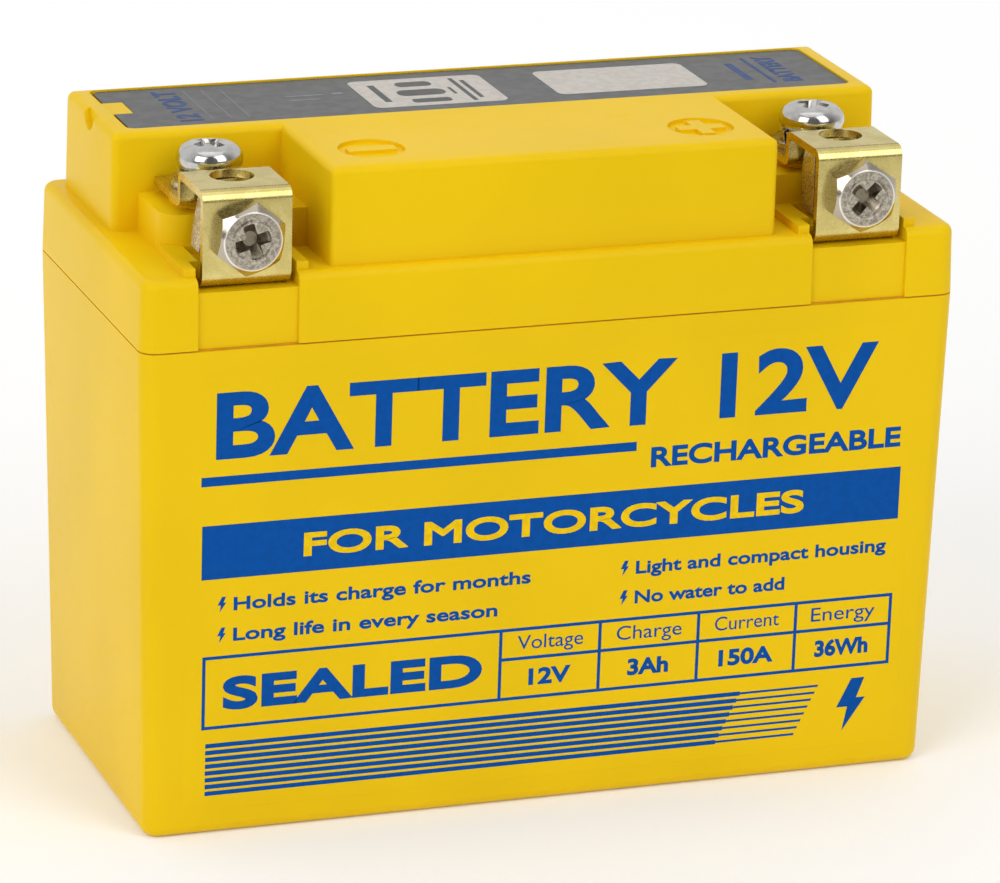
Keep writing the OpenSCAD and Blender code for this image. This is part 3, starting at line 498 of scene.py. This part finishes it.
def print_outlines(name, outlines, plane, material):
    """One piece made of slabs of ink."""
    mesh = bpy.data.meshes.new(name)
    bm = bmesh.new()
    for outline in outlines:
        slab_mesh(bm, outline)
    bmesh.ops.recalc_face_normals(bm, faces=bm.faces)
    bm.to_mesh(mesh)
    bm.free()
    mesh.transform(plane)
    return new_piece(name, mesh, material)


def bar(x0, x1, y0, y1):
    """Rectangle with sharp corners."""
    return [(x0, y0), (x1, y0), (x1, y1), (x0, y1)]


def rounded(x0, x1, y0, y1, r, steps=8):
    """Rectangle with round corners."""
    left, right, low, high = x0 + r, x1 - r, y0 + r, y1 - r
    points = []
    for quarter, (cx, cy) in enumerate(((right, high), (left, high), (left, low), (right, low))):
        for i in range(steps + 1):
            a = math.radians(90 * (quarter + i / steps))
            points.append((cx + r * math.cos(a), cy + r * math.sin(a)))
    return points


def spark(x, y, height):
    """Lightning mark whose box starts at x, y; its width is 0.62 of its height."""
    shape = ((0.55, 1.0), (0.95, 1.0), (0.72, 0.62), (1.0, 0.62), (0.32, 0.0), (0.46, 0.46), (0.12, 0.46))
    width = height * 0.62
    return [(x + px * width, y + py * height) for px, py in shape]


def letters(text):
    """Words as flat faces, with the baseline at y = 0 and the font's own size."""
    curve = bpy.data.curves.new("letters", "FONT")
    curve.body = text
    curve.resolution_u = 6
    holder = bpy.data.objects.new("letters", curve)
    bpy.context.scene.collection.objects.link(holder)
    graph = bpy.context.evaluated_depsgraph_get()
    mesh = bpy.data.meshes.new_from_object(holder.evaluated_get(graph))
    bpy.data.objects.remove(holder)
    bpy.data.curves.remove(curve)
    return mesh


# The font's capital height, and the shortest edge kept in its outlines, in its own units
CAP_UNIT = max(v.co.y for v in letters("H").vertices)
WELD = 0.003
# A sharp corner moves out by at most 1 / MITRE_LIMIT times as far as its edges
MITRE_LIMIT = 0.5


def outward(vert):
    """Mitred direction from the letter's face out through one of its outline's corners."""
    normals = []
    for edge in vert.link_edges:
        if len(edge.link_faces) == 1:
            loop = edge.link_loops[0]
            along = loop.link_loop_next.vert.co - loop.vert.co
            normals.append(Vector((along.y, -along.x, 0)).normalized())
    total = sum(normals, Vector())
    if total.length < 1e-6:
        return Vector()
    total.normalize()
    return total / max(total.dot(normals[0]), MITRE_LIMIT)


def lettering(name, text, x, y, width, cap, plane, material, bold=0.0, turn=0.0):
    """Words of that width and capital height, in mm, with the baseline's start at x, y on the plane.
    Bold words have their outlines moved out by bold mm."""
    flat = letters(text)
    left = min(v.co.x for v in flat.vertices)
    right = max(v.co.x for v in flat.vertices)
    sx = (width - 2 * bold) / (right - left)
    sy = (cap - 2 * bold) / CAP_UNIT
    bm = bmesh.new()
    bm.from_mesh(flat)
    bpy.data.meshes.remove(flat)
    bmesh.ops.remove_doubles(bm, verts=bm.verts, dist=WELD)
    for v in bm.verts:
        v.co = Vector(((v.co.x - left) * sx + bold, v.co.y * sy + bold, 0))
    bm.normal_update()
    bmesh.ops.reverse_faces(bm, faces=[f for f in bm.faces if f.normal.z < 0])
    moved = [v.co + outward(v) * bold for v in bm.verts]
    bm.verts.index_update()
    n = len(moved)
    c, s = math.cos(turn), math.sin(turn)
    placed = [((x + p.x * c - p.y * s) * MM, (y + p.x * s + p.y * c) * MM) for p in moved]
    points = [(px, py, INK_PROUD) for px, py in placed] + [(px, py, -INK_DEPTH) for px, py in placed]
    faces = []
    for f in bm.faces:
        ring = [v.index for v in f.verts]
        faces.append(ring)
        faces.append([n + i for i in reversed(ring)])
    for edge in bm.edges:
        if len(edge.link_faces) == 1:
            loop = edge.link_loops[0]
            a, b = loop.vert.index, loop.link_loop_next.vert.index
            faces.append([a, n + a, n + b, b])
    bm.free()
    mesh = bpy.data.meshes.new(name)
    mesh.from_pydata(points, [], faces)
    mesh.transform(plane)
    return new_piece(name, mesh, material)


# Front print, in mm: x from the middle, y up from the base
TABLE_X = (-45.1, -6.2, 7.1, 20.45, 33.8, 46.9)
TABLE_Y = (14.4, 19.75, 23.7)
LINE = 0.42

# The stripes under the table: each starts at STRIPE_X, narrows at one slant and ends on another
STRIPE_X = -44.75
STRIPE_TOP_Y = 12.0
STRIPE_PITCH = 0.914
STRIPE_STEP_X = 26.6
STRIPE_END_X = 37.4
STRIPE_SLANT = 0.44
WIDE_HALF = 0.29
THIN_HALF = 0.15


def table_lines():
    """Frame and rules of the table, as bars that meet but don't overlap."""
    x, y = TABLE_X, TABLE_Y
    h = LINE / 2
    lines = [bar(x[0] - h, x[-1] + h, v - h, v + h) for v in (y[0], y[2])]
    lines += [bar(v - h, v + h, y[0] + h, y[2] - h) for v in x]
    lines += [bar(a + h, b - h, y[1] - h, y[1] + h) for a, b in zip(x[1:-1], x[2:])]
    return lines


def speed_stripes():
    """Eight stripes, each stepping down to half its width and ending on a slant."""
    out = []
    for i in range(8):
        y = STRIPE_TOP_Y - i * STRIPE_PITCH
        step = STRIPE_STEP_X - i * STRIPE_SLANT
        end = STRIPE_END_X - i * STRIPE_SLANT
        low, high = y - THIN_HALF, y + THIN_HALF
        out.append(bar(STRIPE_X, step, y - WIDE_HALF, y + WIDE_HALF))
        out.append([(step, low), (end - 0.08, low), (end + 0.08, high), (step, high)])
    return out


def build_front_print():
    """Generic words, a table and stripes; each lettering has x, y, width and capital height in mm."""
    plane = front_plane()
    lettering("print_title", "BATTERY 12V", -44.0, 49.7, 87.0, 8.6, plane, BLUE, 0.36)
    print_outlines("print_underline", [bar(-45.8, 11.0, 46.3, 47.5)], plane, BLUE)
    lettering("print_subtitle", "RECHARGEABLE", 13.0, 43.9, 34.0, 2.7, plane, BLUE, 0.13)
    print_outlines("print_band", [bar(-45.6, 47.25, 34.1, 41.15)], plane, BLUE)
    raised = plane @ Matrix.Translation((0, 0, INK_PROUD))
    lettering("print_band_words", "FOR MOTORCYCLES", -32.5, 36.1, 66.6, 3.1, raised, PRINT_YELLOW, 0.17)
    lines = (
        ("Holds its charge for months", -41.4, 29.8, 38.9),
        ("Long life in every season", -41.4, 25.75, 34.6),
        ("Light and compact housing", 11.6, 29.75, 34.2),
        ("No water to add", 11.6, 25.75, 20.4),
    )
    for i, (text, x, y, width) in enumerate(lines):
        lettering(f"print_line_{i + 1}", text, x, y, width, 1.75, plane, BLUE, 0.075)
    marks = [spark(x - 2.2, y - 0.1, 2.0) for _, x, y, _ in lines]
    print_outlines("print_marks", marks, plane, BLUE)
    print_outlines("print_table", table_lines(), plane, BLUE)
    lettering("print_cell_0", "SEALED", -42.6, 16.6, 34.0, 4.4, plane, BLUE, 0.30)
    heads = ("Voltage", "Charge", "Current", "Energy")
    values = ("12V", "3Ah", "150A", "36Wh")
    for i, (head, value) in enumerate(zip(heads, values)):
        middle = (TABLE_X[i + 1] + TABLE_X[i + 2]) / 2
        lettering(f"print_head_{i + 1}", head, middle - 4.4, 20.95, 8.8, 1.85, plane, BLUE)
        wide = 1.85 * len(value)
        lettering(f"print_value_{i + 1}", value, middle - wide / 2, 16.0, wide, 2.25, plane, BLUE, 0.13)
    print_outlines("print_stripes", speed_stripes(), plane, BLUE)
    print_outlines("print_spark", [spark(39.6, 5.4, 7.2)], plane, BLUE)


def build_top_print():
    """Pale patches, plain marks and generic words on the top label, in mm from its frame's middle."""
    plane = top_plane()
    patches = [rounded(-15, 2.9, 3.8, 17, 1.2), rounded(10, 30.5, 4.8, 16.5, 1.2)]
    print_outlines("label_patches", patches, plane, WHITE)
    over = plane @ Matrix.Translation((0, 0, INK_PROUD))
    icons = [
        rounded(-9.4, -4.2, 5.2, 7.0, 0.6),
        rounded(-10.2, -3.8, 8.6, 11.4, 1.2),
        rounded(-9.2, -4.4, 13.0, 15.2, 0.9),
        bar(-12.9, -12.0, 6.4, 14.6),
        bar(-1.6, -1.0, 4.8, 15.8),
        bar(-0.4, 0.2, 6.0, 14.6),
        bar(-3.0, -2.6, 8.4, 11.6),
    ]
    print_outlines("label_icons", icons, over, PRINT_GREY)
    quarter = math.pi / 2
    lettering("label_volts", "12 VOLT", -37.7, 3.4, 14.6, 3.0, plane, FAINT_BLUE, 0.14, quarter)
    rules = [bar(x, x + 0.16, 3.6, 17.4) for x in (-36.6, -34.2, -31.8)]
    rules += [bar(-24.6, -19.4, 11.6, 12.1), bar(-24.6, -20.6, 9.6, 10.1), bar(-18.4, -16.9, 11.6, 12.4)]
    print_outlines("label_rules", rules, plane, FAINT_GREY)
    lettering("label_kind", "BATTERY", 43.4, 4.4, 12.6, 2.6, plane, FAINT_BLUE, 0.14, quarter)
    print_outlines("label_mark", [bar(39.2, 39.7, 4.4, 17.0), bar(36.2, 37.2, 6.4, 14.6)], plane, FAINT_BLUE)


# ---------------------------------------------------------------- stage

FLOOR_HALF = 6.0

def softbox(name, azimuth, elevation, distance, size, watts):
    """Area light that faces the battery; azimuth 0 is in front of it and positive is to the right."""
    light = bpy.data.lights.new(name, "AREA")
    light.shape = "RECTANGLE"
    light.size, light.size_y = size
    light.energy = watts
    obj = bpy.data.objects.new(name, light)
    bpy.context.scene.collection.objects.link(obj)
    a, e = math.radians(azimuth), math.radians(elevation)
    back = Vector((math.sin(a) * math.cos(e), -math.cos(a) * math.cos(e), math.sin(e)))
    obj.location = VIEW_TARGET + back * distance
    obj.rotation_euler = back.to_track_quat("Z", "Y").to_euler()


def build_floor():
    """Plain paper: duller in front, where only metal reflects it, and faintly lit so that it stays white."""
    mesh = bpy.data.meshes.new("floor")
    h = FLOOR_HALF
    mesh.from_pydata([(-h, -h, 0), (h, -h, 0), (h, h, 0), (-h, h, 0)], [], [(0, 1, 2, 3)])
    floor = bpy.data.objects.new("floor", mesh)
    bpy.context.scene.collection.objects.link(floor)
    s = Shader("floor_paper", (0.93, 0.93, 0.93), 0.9, Specular_IOR_Level=0.0)
    paper = s.mix(s.noise(300, 2.0), (0.92, 0.92, 0.92), (0.94, 0.94, 0.94))
    s.color(s.mix(s.spread(s.axis("Y"), -0.16, -0.50), paper, (0.45, 0.45, 0.45)))
    s.bsdf.inputs["Emission Color"].default_value = (1, 1, 1, 1)
    glow = s.spread(s.axis("Y"), -0.15, 0.50, 0.06, 0.26)
    s.tree.links.new(glow, s.bsdf.inputs["Emission Strength"])
    dress(floor, s.material)


def build_sky():
    """White surroundings that are dim in front and bright behind."""
    world = bpy.data.worlds.new("studio")
    bpy.context.scene.world = world
    world.use_nodes = True
    tree = world.node_tree
    background = tree.nodes["Background"]
    coords = tree.nodes.new("ShaderNodeTexCoord").outputs["Generated"]
    split = tree.nodes.new("ShaderNodeSeparateXYZ")
    tree.links.new(coords, split.inputs[0])
    ramp = tree.nodes.new("ShaderNodeMapRange")
    ramp.interpolation_type = "SMOOTHSTEP"
    for socket, value in (("From Min", -0.75), ("From Max", 0.35), ("To Min", 0.14), ("To Max", 0.78)):
        ramp.inputs[socket].default_value = value
    tree.links.new(split.outputs["Y"], ramp.inputs["Value"])
    tree.links.new(ramp.outputs[0], background.inputs["Strength"])
    background.inputs["Color"].default_value = (1, 1, 1, 1)


def build_lights():
    """Angles in degrees, distance and size in metres, power in watts."""
    softbox("key_left", -52, 32, 1.1, (0.55, 0.75), 4.2)
    softbox("key_right", 27, 38, 1.2, (0.60, 1.0), 4.9)
    softbox("overhead", 0, 82, 1.1, (1.0, 0.8), 1.6)


def build_camera():
    data = bpy.data.cameras.new("camera")
    data.sensor_width = SENSOR_MM
    data.lens = LENS_MM
    data.clip_start = 0.01
    camera = bpy.data.objects.new("camera", data)
    bpy.context.scene.collection.objects.link(camera)
    a, e = VIEW_AZIMUTH, VIEW_ELEVATION
    back = Vector((-math.sin(a) * math.cos(e), -math.cos(a) * math.cos(e), math.sin(e)))
    right = Vector((0, 0, 1)).cross(back).normalized()
    up = back.cross(right)
    c, s = math.cos(VIEW_ROLL), math.sin(VIEW_ROLL)
    turned = Matrix((right * c + up * s, up * c - right * s, back)).transposed().to_4x4()
    turned.translation = VIEW_TARGET + back * VIEW_DISTANCE
    camera.matrix_world = turned
    bpy.context.scene.camera = camera


build_camera()
build_floor()
build_sky()
build_lights()
build_housing()
for side in ("neg", "pos"):
    build_terminal(side)
build_inside()
build_front_print()
build_top_print()

bpy.context.scene.view_settings.view_transform = "Standard"
